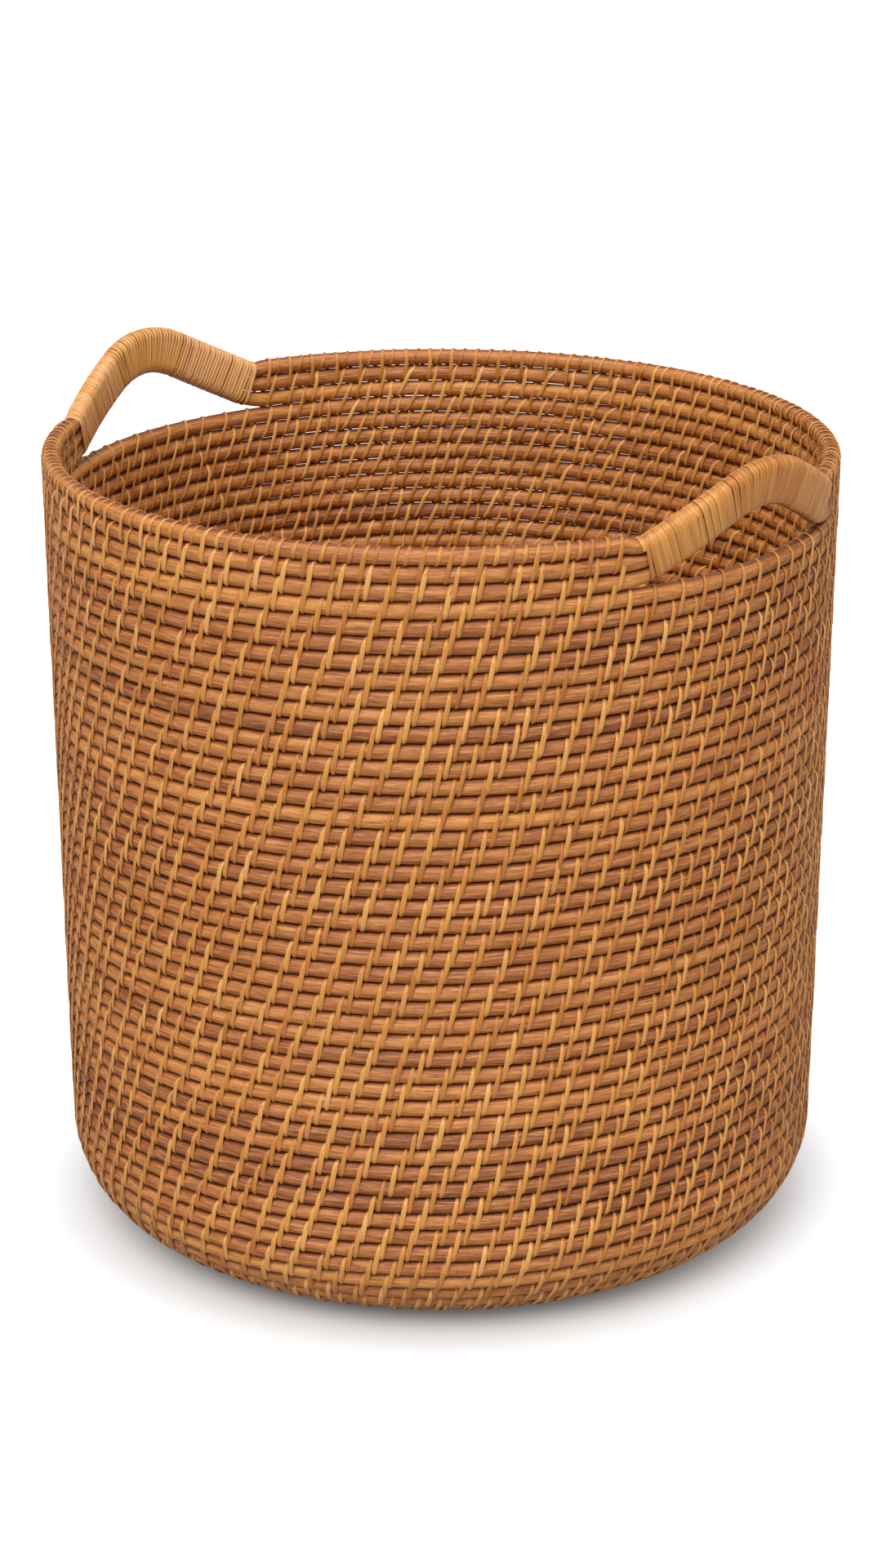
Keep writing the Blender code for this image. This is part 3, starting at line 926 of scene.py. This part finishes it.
WINDING_PITCH = 0.00215
WINDING_REACH = 0.0074
WINDING_RADIUS = 0.0049
WINDING_LEAN = WINDING_PITCH * 0.36
WINDING_WIDTH = 0.0024
WINDING_THICKNESS = 0.0007
WINDING_START = 0.7  # of the foot bend
WINDING_TONES_AND_PAINTED_LIGHT = {"right": 0.42, "left": 1.3}  # the left one is paler: partly faded cane, partly painted light
winding_work = strip_tree("Handle Winding", WINDING_REACH, WINDING_RADIUS,
                          WINDING_LEAN, WINDING_LEAN, WINDING_PITCH)
for side, handle in HANDLES.items():
    spots = [spot for spot in handle_line(handle[1], handle[2])
             if spot[3] >= WINDING_START]
    line = [handle_station(handle, spot, COURSES - 1, 0.5) for spot in spots]
    guide = guide_curve(f"winding_{side}_line", line, False)
    turns = round(line_length(line) / WINDING_PITCH)
    values = {
        "Loops": turns, "Stitches": float(turns), "Phase": 0.0, "First Chain": 0,
        "Row": 60.0, "Half Reach": WINDING_REACH, "Loop Radius": WINDING_RADIUS,
        "Closed": False, "Width": WINDING_WIDTH, "Thickness": WINDING_THICKNESS, "Shift": 0.32,
        "Lift": 0.0004, "Every Second Short": False, "Batch": 13.0, "Pinch": 0.0,
        "Tone": WINDING_TONES_AND_PAINTED_LIGHT[side], "Tone Spread": 0.5, "Seed": 77,
        "Material": split_cane,
    }
    winding = worked(guide, f"handle_winding_{side}", winding_work, values)
    winding.data.shade_smooth()
    winding.data.set_sharp_from_angle(angle=EDGE_ANGLE)
    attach(winding, "root")
    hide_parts(f"handle_binding_{side}")


# === The studio =============================================================
# A pale floor, a white world and two broad lamps. The camera sees the world and the
# floor brighter than the light they give, except for the floor under the basket.

FLOOR_SIZE = 6.0
FLOOR_GREY = (0.40, 0.40, 0.40, 1.0)
FLOOR_GLOW = 0.78
GLOW_START = FLOOR_RADIUS
GLOW_FULL = 1.6 * FLOOR_RADIUS
FLOOR_HEIGHT = -0.0012  # the strips under the base touch it
corners = [(x, y, FLOOR_HEIGHT) for x, y in (
    (-FLOOR_SIZE, -FLOOR_SIZE), (FLOOR_SIZE, -FLOOR_SIZE),
    (FLOOR_SIZE, FLOOR_SIZE), (-FLOOR_SIZE, FLOOR_SIZE))]
floor_mesh = bpy.data.meshes.new("floor")
floor_mesh.from_pydata(corners, [], [(0, 1, 2, 3)])
floor = bpy.data.objects.new("floor", floor_mesh)
bpy.context.scene.collection.objects.link(floor)
floor_material, floor_tree, floor_shader = shader("pale_floor")
floor_shader.inputs["Base Color"].default_value = FLOOR_GREY
floor_shader.inputs["Roughness"].default_value = 0.9
floor_shader.inputs["Emission Color"].default_value = (1, 1, 1, 1)
away = put(floor_tree, "ShaderNodeVectorMath", {"operation": "LENGTH"},
           {0: put(floor_tree, "ShaderNodeTexCoord").outputs["Object"]}).outputs["Value"]
glow = spread(floor_tree, away, GLOW_START, GLOW_FULL, 0.0, FLOOR_GLOW)
floor_seen = put(floor_tree, "ShaderNodeLightPath").outputs["Is Camera Ray"]
floor_tree.links.new(calc(floor_tree, "MULTIPLY", floor_seen, glow),
                     floor_shader.inputs["Emission Strength"])
floor_mesh.materials.append(floor_material)

AZIMUTH = math.radians(38.7)
ELEVATION = 0.3401
DISTANCE = 2.204
TARGET = Vector((0.0, 0.0, 0.2344))
LENS = 93.02
SENSOR_WIDTH = 36.0
camera = bpy.data.objects.new("camera", bpy.data.cameras.new("camera"))
bpy.context.scene.collection.objects.link(camera)
back = Vector((math.sin(AZIMUTH) * math.cos(ELEVATION),
               -math.cos(AZIMUTH) * math.cos(ELEVATION), math.sin(ELEVATION)))
camera.location = TARGET + back * DISTANCE
camera.rotation_euler = back.to_track_quat("Z", "Y").to_euler()
camera.data.lens = LENS
camera.data.sensor_width = SENSOR_WIDTH
bpy.context.scene.camera = camera

WORLD_LIGHT = 0.58
WORLD_GLOW = 0.42  # more, for what the camera sees
world = bpy.data.worlds.new("studio")
world.use_nodes = True
world.node_tree.nodes["Background"].inputs["Color"].default_value = (1, 1, 1, 1)
world_seen = put(world.node_tree, "ShaderNodeLightPath").outputs["Is Camera Ray"]
strength = calc(world.node_tree, "MULTIPLY_ADD", world_seen, WORLD_GLOW, WORLD_LIGHT)
world.node_tree.links.new(strength, world.node_tree.nodes["Background"].inputs["Strength"])
bpy.context.scene.world = world


def window_light(name, azimuth, elevation, spread_angle, strength):
    """Broad soft light from a direction relative to the camera."""
    lamp = bpy.data.objects.new(name, bpy.data.lights.new(name, "SUN"))
    lamp.data.angle = math.radians(spread_angle)
    lamp.data.energy = strength
    bpy.context.scene.collection.objects.link(lamp)
    turn = AZIMUTH + math.radians(azimuth)
    rise = math.radians(elevation)
    away = Vector((math.sin(turn) * math.cos(rise), -math.cos(turn) * math.cos(rise),
                   math.sin(rise)))
    lamp.location = away * 3.0
    lamp.rotation_euler = away.to_track_quat("Z", "Y").to_euler()
    return lamp


window_light("key", -18, 50, 40, 2.35)
window_light("fill", 48, 68, 60, 0.72)
bpy.context.scene.view_settings.view_transform = "Standard"
